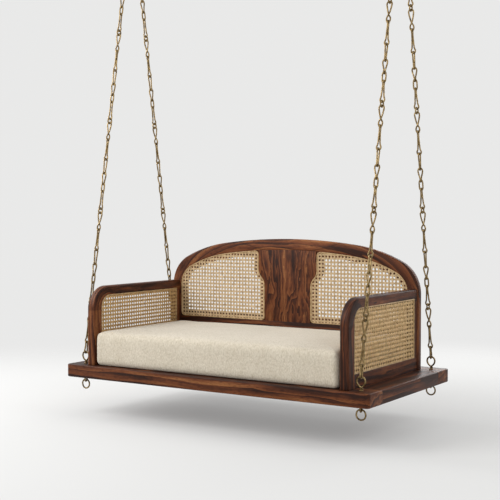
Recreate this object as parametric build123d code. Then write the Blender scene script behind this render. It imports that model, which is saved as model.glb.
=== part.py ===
"""Indian jhoola: a cane-panelled swing bench hung on four brass chains from two ceiling brackets.

All sizes are millimetres.  The bench is laid out with the middle of its deck's top face at zero,
+X to the sitter's left, +Y to the back and +Z up.  At the end every piece moves so that the
origin lies in the ceiling plane, midway between the two brackets.
"""
import math
import os

from build123d import *

# ---- deck -------------------------------------------------------------------------------
deck_length = 1500
deck_depth = 788
deck_thickness = 56
deck_corner_radius = 18
deck_arris = 2.5
deck_rail_width = 120
slat_count = 5
slat_thickness = 22
slat_gap = 3
slat_ledge = 20
slat_end_gap = 1
bearer_count = 3
bearer_width = 45
bearer_height = 30
bearer_spacing = 400
bearer_stub = 22

# ---- arm frames -------------------------------------------------------------------------
arm_side_inset = 100
arm_front_inset = 29
arm_thickness = 38
arm_height = 348
arm_corner_radius = 105
arm_post_width = 65
arm_top_rail_height = 50
arm_bottom_rail_height = 65
arm_stile_width = 34
arm_opening_radius = 45
arm_arris = 5
arm_lip = 11

# ---- back frame -------------------------------------------------------------------------
back_rear_inset = 83
back_overhang = 6
back_thickness = 34
back_height = 555.5
back_crown_radius = 2675
back_crown_half_span = 350
back_haunch_radius = 690
back_shoulder_radius = 155
back_member_width = 50
back_stile_joint_drop = 160
back_bottom_rail_height = 172
back_lip = 24
back_arris = 5
splat_top_half_width = 155
splat_waist_half_width = 122
splat_shoulder_drop = 140
splat_waist_drop = 220
panel_corner_radius = 20

# ---- cane panels ------------------------------------------------------------------------
rebate_depth = 5
cane_thickness = 1.8
spline_width = 8
spline_height = 2.9
cane_clearance = 0.3
cane_hole_columns = 8
cane_hole_pitch = 53
cane_hole_side = 39
cane_hole_rim = 2
tight_corner_radius = 4

# ---- joinery ----------------------------------------------------------------------------
tenon_thickness = 12
tenon_depth = 20
tenon_end_gap = 0.5
arm_tenon_width = 24
back_tenon_width = 30
crest_tenon_inset = 57
deck_tenon_width = 70
foot_tenon_width = 36
rail_foot_tenon_x = 300
rail_foot_tenon_width = 80

# ---- cushion ----------------------------------------------------------------------------
cushion_side_gap = 2
cushion_front_reach = 7
cushion_back_gap = 3
cushion_lift = 0.3
cushion_thickness = 150
cushion_corner_cut = 15
cushion_top_cut = 20
cushion_foot_cut = 8

# ---- chains -----------------------------------------------------------------------------
eye_side_inset = 61.5
eye_front_inset = 62
eye_back_inset = 55
converge_height = 2135
hang_setback = 10.6
wire_apothem = 2.8
wire_sides = 4
smooth_sides = 6
link_gap = 0.3
foot_gap = 0.6
ring_gap = 0.5
crossing_spread = 1.1
module_count = 3

# ---- eye bolts and tie rings ------------------------------------------------------------
eye_top_height = 54
eye_half_width = 18.5
eye_apothem = 3.2
shank_radius = 4
shank_sides = 6
collar_radius = 9
collar_height = 3
shank_clearance = 0.3
plate_washer_side = 26
plate_washer_thickness = 2
nut_radius = 9
nut_height = 8
tie_loop_half_width = 7
tie_loop_drop = 15
tie_wire_apothem = 2.8
tie_ring_radius = 20
tie_ring_bends = 10

# ---- spreaders, hangers and ceiling brackets -------------------------------------------------
spreader_radius = 4
spreader_seat = 16
spreader_rise = 95
spreader_apex_half = 11
hanger_length = 64
hanger_half_width = 9.5
pin_radius = 6
pin_sides = 12
pin_clearance = 0.1
pin_end = 4
pin_head_radius = 10
pin_head_length = 5
pin_drop = 34
lug_gap = 28
lug_thickness = 8
lug_half_width = 14
plate_length = 116
plate_width = 64
plate_thickness = 8
plate_corner = 12
bolt_radius = 4.5
bolt_half_spacing = 42

# ---- sizes that follow from those above ---------------------------------------------------
half_length = deck_length / 2
half_depth = deck_depth / 2
end_rail_x = half_length - deck_rail_width
front_rail_y = half_depth - deck_rail_width
arm_outer_x = half_length - arm_side_inset
arm_inner_x = arm_outer_x - arm_thickness
arm_middle_x = arm_outer_x - arm_thickness / 2
back_outer_x = arm_outer_x + back_overhang
arm_front_y = arm_front_inset - half_depth
back_rear_y = half_depth - back_rear_inset
back_front_y = back_rear_y - back_thickness
back_middle_y = back_rear_y - back_thickness / 2
back_stile_joint_z = back_height - back_stile_joint_drop
splat_shoulder_z = back_height - splat_shoulder_drop
splat_waist_z = back_height - splat_waist_drop
eye_x = half_length - eye_side_inset
eye_front_y = eye_front_inset - half_depth
eye_back_y = half_depth - eye_back_inset
UP = Vector(0, 0, 1)
X = Vector(1, 0, 0)
Y = Vector(0, 1, 0)

nodes = {}


def keep(name, *solids):
    """File solids under a node's name."""
    nodes.setdefault(name, []).extend(solids)


def block(x0, x1, y0, y1, z0, z1):
    """A box between two corners."""
    middle = Location(((x0 + x1) / 2, (y0 + y1) / 2, (z0 + z1) / 2))
    return Box(abs(x1 - x0), abs(y1 - y0), abs(z1 - z0)).moved(middle)


def lone(shape):
    """The single solid that a shape holds."""
    return shape.solids()[0]


def reflected(solid):
    """The same piece on the other side of the bench."""
    return lone(solid.mirror(Plane.YZ))


def relieved(edges, width):
    """Take a narrow flat off the chosen sharp edges of a piece."""
    return lone(chamfer(edges, width))


def edges_on(solid, axis, value):
    """The edges that lie in the plane where one coordinate has a value."""
    return [e for e in solid.edges()
            if all(abs(tuple(e @ t)["XYZ".index(axis)] - value) < 0.01 for t in (0, 0.5, 1))]


def prism(sides, radius, start, direction, length):
    """A bar with a regular outline from a point along a direction."""
    plane = Plane(origin=start, z_dir=direction)
    return extrude(plane * RegularPolygon(radius, sides), length)


# ---- bent bars ----------------------------------------------------------------------------
def mitre_section(centre, tangent, normal, stretch, apothem, sides):
    """Corners of the bar's outline where two straight runs meet."""
    across = tangent.cross(normal).normalized()
    out = across.cross(tangent)
    corner = apothem / math.cos(math.pi / sides)
    turns = [(k + 0.5) * 2 * math.pi / sides for k in range(sides)]
    return [centre + across * (stretch * corner * math.cos(a)) + out * (corner * math.sin(a)) for a in turns]


def side_faces(first, second):
    """Flat faces between two sections, matched corner to corner by the least twist."""
    count = len(first)
    middle_a = sum(first, Vector(0, 0, 0)) / count
    middle_b = sum(second, Vector(0, 0, 0)) / count

    def spread(shift):
        pairs = zip(first, second[shift:] + second[:shift])
        return sum(((a - middle_a) - (b - middle_b)).length ** 2 for a, b in pairs)

    shift = min(range(count), key=spread)
    second = second[shift:] + second[:shift]
    faces = []
    for k in range(count):
        a, b = first[k], first[(k + 1) % count]
        c, d = second[(k + 1) % count], second[k]
        normal = (b - a).cross(c - a).normalized()
        if abs((d - a).dot(normal)) < 1e-5:
            faces.append(Face(Wire.make_polygon([a, b, c, d])))
        else:
            faces.append(Face(Wire.make_polygon([a, b, c])))
            faces.append(Face(Wire.make_polygon([a, c, d])))
    return faces


def bent_bar(points, normals, apothem, sides):
    """A closed loop of bar with mitred bends through the given points."""
    count = len(points)
    sections = []
    for k in range(count):
        arrive = (points[k] - points[k - 1]).normalized()
        leave = (points[(k + 1) % count] - points[k]).normalized()
        tangent = (arrive + leave).normalized()
        stretch = 1 / tangent.dot(arrive)
        sections.append(mitre_section(points[k], tangent, normals[k], stretch, apothem, sides))
    faces = []
    for k in range(count):
        faces += side_faces(sections[k], sections[(k + 1) % count])
    return Solid(Shell(faces))


class Frame:
    """Axes of a link: origin at its top, up along the chain, side along X."""

    def __init__(self, top, up):
        self.top = top
        self.up = up.normalized()
        self.face = X
        self.edge = self.up.cross(X)

    def side(self, plane):
        """The direction across a loop: F loops lie across X, E loops across the other way."""
        return self.face if plane == "F" else self.edge

    def at(self, side, half, depth):
        return self.top + side * half - self.up * depth


def loop_link(frame, rows, top_plane, bottom_plane):
    """A closed link.  Each row is (half width, depth below the top, 0 for the top end or 1)."""
    right, left, normals = [], [], []
    for half, depth, end in rows:
        side = frame.side(bottom_plane if end else top_plane)
        right.append(frame.at(side, half, depth))
        left.append(frame.at(side, -half, depth))
        normals.append(side.cross(frame.up))
    return bent_bar(right + left[::-1], normals + normals[::-1], wire_apothem, wire_sides)


def crossed_link(frame, length, plane):
    """A figure of eight: one bar that passes itself at the waist."""
    side = frame.side(plane)
    normal = side.cross(frame.up)
    lift = normal * (wire_apothem * crossing_spread + link_gap)
    waist = frame.at(side, 0, 0.6 * length)
    upper = [(4.6, 0), (9.8, 0.11 * length)]
    lower = [(7.2, length - 3), (4.2, length)]
    points = [frame.at(side, half, depth) for half, depth in upper] + [waist + lift]
    points += [frame.at(side, -half, depth) for half, depth in lower]
    points += [frame.at(side, half, depth) for half, depth in lower[::-1]] + [waist - lift]
    points += [frame.at(side, -half, depth) for half, depth in upper[::-1]]
    return bent_bar(points, [normal] * len(points), wire_apothem, wire_sides)


# ---- the chain's eight kinds of link --------------------------------------------------------
# Each entry: length between bar centres, plane of the top end, plane of the bottom end and rows.
link_kinds = {
    "bar": (98, "E", "F", [(6.8, 0, 0), (7.2, 95, 1), (4.2, 98, 1)]),
    "pear": (71, "E", "E", [(4.8, 0, 0), (10, 9, 0), (6.4, 71, 1)]),
    "tear": (56, "F", "E", [(4.8, 0, 0), (9.8, 8, 0), (7.4, 53, 1), (4.2, 56, 1)]),
    "oval": (40, "F", "F", [(6.2, 0, 0), (9, 20, 0), (6.2, 40, 1)]),
    "drop": (86, "E", "F", [(6.8, 0, 0), (10, 77, 1), (4.8, 86, 1)]),
    "ring": (25, "E", "E", [(6.6, 0, 0), (12.6, 12.5, 0), (6.6, 25, 1)]),
    "eight": (84, "F", "F", None),
    "foot": (52, "E", "E", [(6.4, 0, 0), (9, 44, 0), (4.8, 52, 1)]),
}
module = ["bar", "pear", "tear", "oval", "drop", "ring", "eight"]
chain_order = ["tear", "tear", "oval", "drop", "ring", "eight"] + module * module_count + ["bar", "foot"]
link_overlap = 2 * wire_apothem + link_gap
chain_length = sum(link_kinds[kind][0] for kind in chain_order) - (len(chain_order) - 1) * link_overlap


def make_link(kind, frame):
    length, top_plane, bottom_plane, rows = link_kinds[kind]
    if rows is None:
        return crossed_link(frame, length, top_plane)
    return loop_link(frame, rows, top_plane, bottom_plane)


def chain_foot(eye_y):
    """Where the lowest link's bar passes under the top of its eye, and the way the chain rises."""
    eye_top = Vector(eye_x, eye_y, eye_top_height)
    rise = (Vector(eye_x, hang_setback, converge_height) - eye_top).normalized()
    return eye_top - rise * (eye_apothem + wire_apothem + foot_gap), rise


def chain(eye_y):
    """All links of one chain, from the spreader down to the eye bolt."""
    foot, rise = chain_foot(eye_y)
    top = foot + rise * chain_length
    links = []
    for kind in chain_order:
        links.append(make_link(kind, Frame(top, rise)))
        top = top - rise * (link_kinds[kind][0] - link_overlap)
    return links


# ---- deck -------------------------------------------------------------------------------
def deck_long_rail(front):
    """A rail the full length of the deck with rounded ends, its inner face towards the middle."""
    inner, outer = (-front_rail_y, -half_depth) if front else (front_rail_y, half_depth)
    rail = block(-half_length, half_length, inner, outer, -deck_thickness, 0)
    corners = [e for e in rail.edges().filter_by(Axis.Z) if abs((e @ 0).Y - outer) < 0.01]
    rail = lone(fillet(corners, deck_corner_radius))
    arrises = [e for z in (0, -deck_thickness) for e in edges_on(rail, "Z", z)
               if abs((e @ 0.5).Y - inner) > 0.01]
    return relieved(arrises, deck_arris)


def deck_end_rail():
    """A rail across the right end, with a ledge that the slats' ends lie on."""
    rail = block(end_rail_x, half_length, -front_rail_y, front_rail_y, -deck_thickness, 0)
    arrises = [e for e in rail.edges().filter_by(Axis.Y) if abs((e @ 0).X - half_length) < 0.01]
    rail = relieved(arrises, deck_arris)
    ledge = block(end_rail_x, end_rail_x + slat_ledge, -front_rail_y, front_rail_y, -slat_thickness, 0)
    return rail - ledge


def slats():
    width = (2 * front_rail_y - (slat_count + 1) * slat_gap) / slat_count
    reach = end_rail_x + slat_ledge - slat_end_gap
    for k in range(slat_count):
        y = -front_rail_y + slat_gap + k * (width + slat_gap)
        yield block(-reach, reach, y, y + width, -slat_thickness, 0)


def bearers():
    reach = front_rail_y + bearer_stub
    for k in range(bearer_count):
        x = (k - (bearer_count - 1) / 2) * bearer_spacing
        yield block(x - bearer_width / 2, x + bearer_width / 2, -reach, reach,
                    -slat_thickness - bearer_height, -slat_thickness)


# ---- arm frames -------------------------------------------------------------------------
def arm_outline(front, rear, bottom, top, corner):
    """A face in the YZ plane with a large round at its upper front corner."""
    middle = (0, (front + rear) / 2, (bottom + top) / 2)
    face = Plane(origin=middle, x_dir=(0, 1, 0), z_dir=(1, 0, 0)) * Rectangle(rear - front, top - bottom)
    return fillet([v for v in face.vertices() if v.Y < middle[1] and v.Z > middle[2]], corner)


def arm_opening(grow):
    """The cane opening's outline, larger by grow on every side."""
    return arm_outline(arm_front_y + arm_post_width - grow, back_front_y - arm_stile_width + grow,
                       arm_bottom_rail_height - grow, arm_height - arm_top_rail_height + grow,
                       arm_opening_radius + grow)


def slab(face, x0, x1):
    """A face drawn in the YZ plane, carried along X."""
    return extrude(face, x1 - x0, dir=(1, 0, 0)).moved(Location((x0, 0, 0)))


def arm_blank():
    outer = slab(arm_outline(arm_front_y, back_front_y, 0, arm_height, arm_corner_radius),
                 arm_inner_x, arm_outer_x)
    rim = [e for x in (arm_inner_x, arm_outer_x) for e in edges_on(outer, "X", x)
           if (e @ 0.5).Z > 0.01 and (e @ 0.5).Y < back_front_y - 0.01]
    outer = relieved(rim, arm_arris)
    through = slab(arm_opening(0), arm_inner_x - 1, arm_outer_x + 1)
    inner_rebate = slab(arm_opening(arm_lip), arm_inner_x - 1, arm_inner_x + rebate_depth)
    outer_rebate = slab(arm_opening(arm_lip), arm_outer_x - rebate_depth, arm_outer_x + 1)
    return outer - through - inner_rebate - outer_rebate


def arm_pieces():
    blank = arm_blank()
    inside, outside = arm_inner_x - 1, arm_outer_x + 1
    post_rear = arm_front_y + arm_post_width
    rail_under = arm_height - arm_top_rail_height
    post_top = arm_height - arm_corner_radius
    corner_rear = arm_front_y + arm_corner_radius + arm_opening_radius
    post = blank & block(inside, outside, arm_front_y - 1, post_rear, -1, post_top)
    bottom = blank & block(inside, outside, post_rear, back_front_y + 1, -1, arm_bottom_rail_height)
    stile = blank & block(inside, outside, 0, back_front_y + 1, arm_bottom_rail_height, rail_under)
    crook = block(inside, outside, arm_front_y - 1, corner_rear, post_top, arm_height + 1)
    along = block(inside, outside, arm_front_y - 1, back_front_y + 1, rail_under, arm_height + 1)
    top = blank & (crook + along)
    return lone(post), lone(bottom), lone(stile), lone(top)


def loose_tenon(x, y, z, along, width_axis, width):
    """A flat tenon centred on a joint: along is the way it bridges, width_axis its wide way."""
    size = {"X": tenon_thickness, "Y": tenon_thickness, "Z": tenon_thickness}
    size[along] = 2 * (tenon_depth - tenon_end_gap)
    size[width_axis] = width
    slot = dict(size)
    slot[along] = 2 * tenon_depth
    tenon = Box(size["X"], size["Y"], size["Z"]).moved(Location((x, y, z)))
    return tenon, Box(slot["X"], slot["Y"], slot["Z"]).moved(Location((x, y, z)))


def arm_joints():
    post_middle = arm_front_y + (arm_post_width - arm_lip) / 2
    stile_middle = back_front_y - (arm_stile_width - arm_lip) / 2
    low = arm_bottom_rail_height
    high = arm_height - arm_top_rail_height
    return [
        loose_tenon(arm_middle_x, post_middle, arm_height - arm_corner_radius, "Z", "Y", arm_tenon_width),
        loose_tenon(arm_middle_x, arm_front_y + arm_post_width, low / 2, "Y", "Z", arm_tenon_width),
        loose_tenon(arm_middle_x, stile_middle, low, "Z", "Y", arm_stile_width / 2),
        loose_tenon(arm_middle_x, stile_middle, high, "Z", "Y", arm_stile_width / 2),
    ]


# ---- back frame -------------------------------------------------------------------------
def arch_angles():
    """Turns at which the crown meets the haunch and the haunch meets the shoulder."""
    first = math.asin(back_crown_half_span / back_crown_radius)
    rest = back_outer_x - back_crown_half_span + back_haunch_radius * math.sin(first) - back_shoulder_radius
    return first, math.asin(rest / (back_haunch_radius - back_shoulder_radius))


def arch_point(turn, inset):
    """A point on the arch, by the turn of its outward normal from upright."""
    first, second = arch_angles()
    radii = [(0, back_crown_radius), (first, back_haunch_radius), (second, back_shoulder_radius)]
    x, z, start, radius = 0.0, float(back_height), 0.0, back_crown_radius
    for begin, size in radii[1:] + [(math.pi / 2, None)]:
        stop = min(turn, begin)
        if stop > start:
            x += radius * (math.sin(stop) - math.sin(start))
            z -= radius * (math.cos(start) - math.cos(stop))
            start = stop
        radius = size
    return x - inset * math.sin(turn), z - inset * math.cos(turn)


def arch_face(inset, bottom):
    """The arch's outline in the XZ plane, shrunk by inset, down to a level."""
    first, second = arch_angles()
    turns = [0, first, second, math.pi / 2]
    with BuildSketch(Plane.XZ) as sketch:
        with BuildLine():
            for sign in (1, -1):
                for begin, end in zip(turns, turns[1:]):
                    points = [arch_point(t, inset) for t in (begin, (begin + end) / 2, end)]
                    ThreePointArc(*[(sign * x, z) for x, z in points])
                side, foot = arch_point(math.pi / 2, inset)
                Line((sign * side, foot), (sign * side, bottom))
            Line((-side, bottom), (side, bottom))
        make_face()
    return sketch.sketch


def splat_face(grow, bottom, top):
    """The splat's outline: wide at the top, drawn in to a waist by two equal arcs on each side."""
    wide, waist = splat_top_half_width + grow, splat_waist_half_width + grow
    middle = ((wide + waist) / 2, (splat_shoulder_z + splat_waist_z) / 2)
    with BuildSketch(Plane.XZ) as sketch:
        with BuildLine():
            for sign in (1, -1):
                Line((sign * wide, top), (sign * wide, splat_shoulder_z))
                TangentArc((sign * wide, splat_shoulder_z), (sign * middle[0], middle[1]), tangent=(0, -1))
                TangentArc((sign * waist, splat_waist_z), (sign * middle[0], middle[1]), tangent=(0, 1))
                Line((sign * waist, splat_waist_z), (sign * waist, bottom))
            Line((-waist, bottom), (waist, bottom))
            Line((-wide, top), (wide, top))
        make_face()
    return sketch.sketch


def panel_face(inset):
    """The right cane panel's outline, shrunk by inset."""
    arch = arch_face(back_member_width + inset, back_bottom_rail_height + inset)
    face = (arch - splat_face(inset, 0, back_height)).faces().sort_by(Axis.X)[-1]
    low = back_bottom_rail_height + inset
    corners = [v for v in face.vertices() if abs(v.Z - low) < 0.01]
    corners += [v for v in face.vertices() if abs(v.X - splat_top_half_width - inset) < 0.01
                and v.Z > splat_shoulder_z + 1]
    return fillet(corners, max(panel_corner_radius - inset, tight_corner_radius))


def sheet(face, y0, y1):
    """A face drawn in the XZ plane, carried along Y."""
    return extrude(face, y1 - y0, dir=(0, 1, 0)).moved(Location((0, y0, 0)))


def back_blank():
    blank = lone(sheet(arch_face(0, 0), back_front_y, back_rear_y))
    rim = [e for y in (back_front_y, back_rear_y) for e in edges_on(blank, "Y", y) if (e @ 0.5).Z > 0.01]
    blank = relieved(rim, back_arris)
    through = sheet(panel_face(back_lip), back_front_y - 1, back_rear_y + 1)
    rebate = sheet(panel_face(0), back_front_y - 1, back_front_y + rebate_depth)
    for cut in (through, rebate):
        blank = blank - cut - cut.mirror(Plane.YZ)
    return blank


def back_pieces():
    blank = back_blank()
    front, rear = back_front_y - 1, back_rear_y + 1
    stile_inner = back_outer_x - back_member_width
    splat_zone = sheet(splat_face(back_lip, back_bottom_rail_height, back_height)
                       & arch_face(back_member_width, 0), front, rear)
    splat = blank & splat_zone
    rest = blank - splat_zone
    rail_zone = block(-stile_inner, stile_inner, front, rear, -1, back_bottom_rail_height + back_lip)
    rail = rest & rail_zone
    rest = rest - rail_zone
    reach = back_outer_x + 1
    stile = rest & block(0, reach, front, rear, -1, back_stile_joint_z)
    crest = rest & block(-reach, reach, front, rear, back_stile_joint_z, back_height + 1)
    return lone(splat), lone(rail), lone(stile), lone(crest)


def foot_joints():
    """Loose tenons between the deck and what stands on it, on the right half."""
    post_middle = arm_front_y + arm_post_width / 2
    stile_middle = back_outer_x - back_member_width / 2
    return [
        loose_tenon(arm_middle_x, post_middle, 0, "Z", "Y", foot_tenon_width),
        loose_tenon(stile_middle, back_middle_y, 0, "Z", "X", foot_tenon_width),
        loose_tenon(rail_foot_tenon_x, back_middle_y, 0, "Z", "X", rail_foot_tenon_width),
    ]


def back_joints():
    """Loose tenons of the back frame's right half."""
    low = back_bottom_rail_height
    crest_end = back_outer_x - crest_tenon_inset
    crown_under = arch_point(0, back_member_width)[1]
    stile_edge = back_outer_x - back_member_width
    return [
        loose_tenon(crest_end, back_middle_y, back_stile_joint_z, "Z", "X", back_tenon_width),
        loose_tenon(stile_edge, back_middle_y, low / 4, "X", "Z", back_tenon_width),
        loose_tenon(stile_edge, back_middle_y, low * 3 / 4, "X", "Z", back_tenon_width),
        loose_tenon(splat_waist_half_width / 2, back_middle_y, low, "Z", "X", back_tenon_width),
        loose_tenon(splat_waist_half_width / 2, back_middle_y, crown_under, "Z", "X", back_tenon_width),
    ]


# ---- cane panels ------------------------------------------------------------------------
def cane_holes():
    """Middles of a plain grid of square openings that stands for the weave, kept off the rim."""
    rim = panel_face(back_lip).faces().sort_by(Axis.X)[-1]
    box = rim.bounding_box()
    first_x = (box.min.X + box.max.X - (cane_hole_columns - 1) * cane_hole_pitch) / 2
    reach = cane_hole_side / 2 + cane_hole_rim
    for column in range(cane_hole_columns):
        for row in range(cane_hole_columns):
            x = first_x + column * cane_hole_pitch
            z = box.min.Z + (row + 0.5) * cane_hole_pitch
            corners = [Vector(x + i * reach, 0, z + j * reach) for i in (-1, 1) for j in (-1, 1)]
            if all(rim.is_inside(corner) for corner in corners):
                yield x, z


def back_cane():
    floor = back_front_y + rebate_depth
    sheet_front = floor - cane_thickness
    outline = panel_face(cane_clearance)
    cane = sheet(outline, sheet_front, floor)
    half = cane_hole_side / 2
    for x, z in cane_holes():
        cane = cane - block(x - half, x + half, sheet_front - 1, floor + 1, z - half, z + half)
    ring = outline - panel_face(spline_width)
    return lone(cane), lone(sheet(ring, sheet_front - spline_height, sheet_front))


def arm_canes():
    """The sheets in the inner and outer faces, each with its spline, facing away from each other."""
    outline = arm_opening(arm_lip - cane_clearance)
    ring = outline - arm_opening(arm_lip - spline_width)
    for floor, outward in ((arm_inner_x + rebate_depth, -1), (arm_outer_x - rebate_depth, 1)):
        sheet_face = floor + outward * cane_thickness
        spline_face = sheet_face + outward * spline_height
        yield (lone(slab(outline, *sorted((floor, sheet_face)))),
               lone(slab(ring, *sorted((sheet_face, spline_face)))))


# ---- eye bolts and tie rings ------------------------------------------------------------
def bolt_end():
    return -deck_thickness - plate_washer_thickness - nut_height + 1


def eye_bolt(y):
    """A bent-bar eye on a shank that passes through the deck, with a collar on top."""
    shape = [(7, 0), (16.5, 7), (eye_half_width, 18), (11, 34)]
    right = [Vector(eye_x + half, y, eye_top_height - drop) for half, drop in shape]
    left = [Vector(eye_x - half, y, eye_top_height - drop) for half, drop in shape]
    throat = Vector(eye_x, y, eye_top_height - 41)
    loop = bent_bar(right + [throat] + left[::-1], [Y] * (2 * len(shape) + 1), eye_apothem, smooth_sides)
    shank = prism(shank_sides, shank_radius, Vector(eye_x, y, throat.Z), -UP, throat.Z - bolt_end())
    collar = prism(shank_sides, collar_radius, Vector(eye_x, y, collar_height), -UP, collar_height)
    return lone(loop + shank + collar)


def bolt_hole(y):
    through = deck_thickness + plate_washer_thickness
    return prism(shank_sides, shank_radius + shank_clearance, Vector(eye_x, y, 1), -UP, through + 2)


def plate_washer(y):
    z = -deck_thickness - plate_washer_thickness
    half = plate_washer_side / 2
    plate = block(eye_x - half, eye_x + half, y - half, y + half, z, -deck_thickness)
    return lone(plate - bolt_hole(y))


def eye_nut(y):
    """A hexagon nut under the washer with a small loop below it for the tie ring."""
    top = -deck_thickness - plate_washer_thickness
    under = top - nut_height
    nut = prism(6, nut_radius, Vector(eye_x, y, top), -UP, nut_height)
    bore = prism(shank_sides, shank_radius + shank_clearance / 2, Vector(eye_x, y, top + 1), -UP,
                 top + 1 - bolt_end() + shank_clearance)
    shape = [(tie_loop_half_width, 0), (tie_loop_half_width, tie_loop_drop - 4), (3.4, tie_loop_drop)]
    start = under + tie_wire_apothem
    right = [Vector(eye_x, y + half, start - drop) for half, drop in shape]
    left = [Vector(eye_x, y - half, start - drop) for half, drop in shape]
    loop = bent_bar(right + left[::-1], [X] * 6, tie_wire_apothem, smooth_sides)
    return lone(nut + loop - bore)


def ring_top():
    """Height of the tie ring's bar where it hangs on the eye nut."""
    under = -deck_thickness - plate_washer_thickness - nut_height
    return under + tie_wire_apothem - tie_loop_drop + 2 * tie_wire_apothem + ring_gap


def tie_ring(y):
    centre = ring_top() - tie_ring_radius
    corner = tie_ring_radius / math.cos(math.pi / tie_ring_bends)
    turns = [(k + 0.5) * 2 * math.pi / tie_ring_bends for k in range(tie_ring_bends)]
    points = [Vector(eye_x + corner * math.sin(a), y, centre + corner * math.cos(a)) for a in turns]
    return bent_bar(points, [Y] * tie_ring_bends, tie_wire_apothem, smooth_sides)


# ---- spreaders, hangers and ceiling brackets -----------------------------------------------
def spreader_seats():
    """The rod's centre under each chain's top link, with that chain's rise."""
    for y in (eye_front_y, eye_back_y):
        foot, rise = chain_foot(y)
        yield foot + rise * (chain_length - wire_apothem - spreader_radius - link_gap), rise


def spreader_apex():
    highest = max(seat.Z for seat, rise in spreader_seats())
    return highest + spreader_rise


def spreader():
    """A triangle of rod that joins a front and a back chain under one bracket."""
    points = [Vector(eye_x, hang_setback + spreader_apex_half, spreader_apex()),
              Vector(eye_x, hang_setback - spreader_apex_half, spreader_apex())]
    for seat, rise in spreader_seats():
        along = rise.cross(X) * spreader_seat
        points += [seat - along, seat + along] if along.Y > 0 else [seat + along, seat - along]
    return bent_bar(points, [X] * len(points), spreader_radius, smooth_sides)


def hanger_foot():
    """Height of the hanger's lower bar, which passes under the spreader's apex."""
    return spreader_apex() - spreader_radius - wire_apothem - link_gap


def hanger():
    rows = [(5.5, 0, 0), (hanger_half_width + 2, 9, 0),
            (hanger_half_width, hanger_length - 6, 1), (5, hanger_length, 1)]
    top = Vector(eye_x, hang_setback, hanger_foot() + hanger_length)
    return loop_link(Frame(top, UP), rows, "E", "F")


def pin_level():
    """Height of the pin's axis, which the hanger turns on."""
    return hanger_foot() + hanger_length - wire_apothem - pin_radius - link_gap


def ceiling_level():
    return pin_level() + pin_drop + plate_thickness


def along_x(radius, x0, x1):
    """A bar on the pin's axis."""
    return prism(pin_sides, radius, Vector(eye_x + x0, hang_setback, pin_level()), X, x1 - x0)


def ceiling_pin():
    """The round pin across the lugs, with a hexagon head at one end."""
    reach = lug_gap / 2 + lug_thickness
    start = Vector(eye_x + reach, hang_setback, pin_level())
    head = prism(6, pin_head_radius, start, X, pin_head_length)
    return lone(along_x(pin_radius, -reach - pin_end, reach) + head)


def lug(side):
    """An ear welded under the plate, cut off at its lower corners."""
    inner = eye_x + side * lug_gap / 2
    outer = inner + side * lug_thickness
    ear = block(inner, outer, hang_setback - lug_half_width, hang_setback + lug_half_width,
                pin_level() - lug_half_width, ceiling_level() - plate_thickness)
    low = [e for e in ear.edges().filter_by(Axis.X) if (e @ 0.5).Z < pin_level()]
    return chamfer(low, lug_half_width / 2)


def ceiling_plate():
    """A plate with two bolt holes and two lugs that carry the pin."""
    top = ceiling_level()
    plate = Box(plate_width, plate_length, plate_thickness, align=(Align.CENTER, Align.CENTER, Align.MIN))
    plate = chamfer(plate.edges().filter_by(Axis.Z), plate_corner)
    plate = plate.moved(Location((eye_x, hang_setback, top - plate_thickness)))
    for y in (hang_setback - bolt_half_spacing, hang_setback + bolt_half_spacing):
        hole = Location((eye_x, y, top - plate_thickness / 2))
        plate = plate - Cylinder(bolt_radius, 2 * plate_thickness).moved(hole)
    reach = lug_gap / 2 + 2 * lug_thickness
    bracket = plate + lug(-1) + lug(1)
    return lone(bracket - along_x(pin_radius + pin_clearance, -reach, reach))


# ---- assemble the bench -------------------------------------------------------------------
def make_deck():
    keep("front_rail", deck_long_rail(True))
    keep("back_rail", deck_long_rail(False))
    keep("right_end_rail", deck_end_rail())
    keep("left_end_rail", reflected(deck_end_rail()))
    for slat in slats():
        keep("seat_slats", slat)
    for bearer in bearers():
        keep("seat_bearers", bearer)
        cut_from(bearer, "front_rail", "back_rail")
    for y in (-front_rail_y, front_rail_y):
        x, z = half_length - deck_rail_width / 2, -deck_thickness / 2
        tenon, slot = loose_tenon(x, y, z, "Y", "X", deck_tenon_width)
        keep_both("deck_tenons", tenon)
        cut_both(slot, "front_rail", "back_rail", "end_rail")


def cut_from(tool, *names):
    for name in names:
        nodes[name] = [lone(solid - tool) for solid in nodes[name]]


def sided(name, side):
    """The node on one side: pieces that run the whole width have no side in their name."""
    return name if name in nodes else f"{side}_{name}"


def cut_both(tool, *names):
    """Cut a tool and its reflection from the pieces that they reach."""
    for side, cutter in (("right", tool), ("left", tool.mirror(Plane.YZ))):
        cut_from(cutter, *[sided(name, side) for name in names])


def keep_both(name, solid, grouped=True):
    """File a piece and its reflection, under one name or under one name for each side."""
    other = reflected(solid)
    if grouped:
        keep(name, lone(solid), other)
    else:
        keep(f"right_{name}", lone(solid))
        keep(f"left_{name}", other)


def make_arms():
    post, bottom, stile, top = arm_pieces()
    names = ("arm_post", "arm_bottom_rail", "arm_stile", "arm_top_rail")
    for name, solid in zip(names, (post, bottom, stile, top)):
        keep_both(name, solid, grouped=False)
    joined = [("arm_post", "arm_top_rail"), ("arm_post", "arm_bottom_rail"),
              ("arm_stile", "arm_bottom_rail"), ("arm_stile", "arm_top_rail")]
    for (tenon, slot), pair in zip(arm_joints(), joined):
        keep_both("arm_tenons", tenon)
        cut_both(slot, *pair)
    for cane, spline in arm_canes():
        keep_both("arm_cane", cane, grouped=False)
        keep_both("arm_cane_spline", spline, grouped=False)


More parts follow.
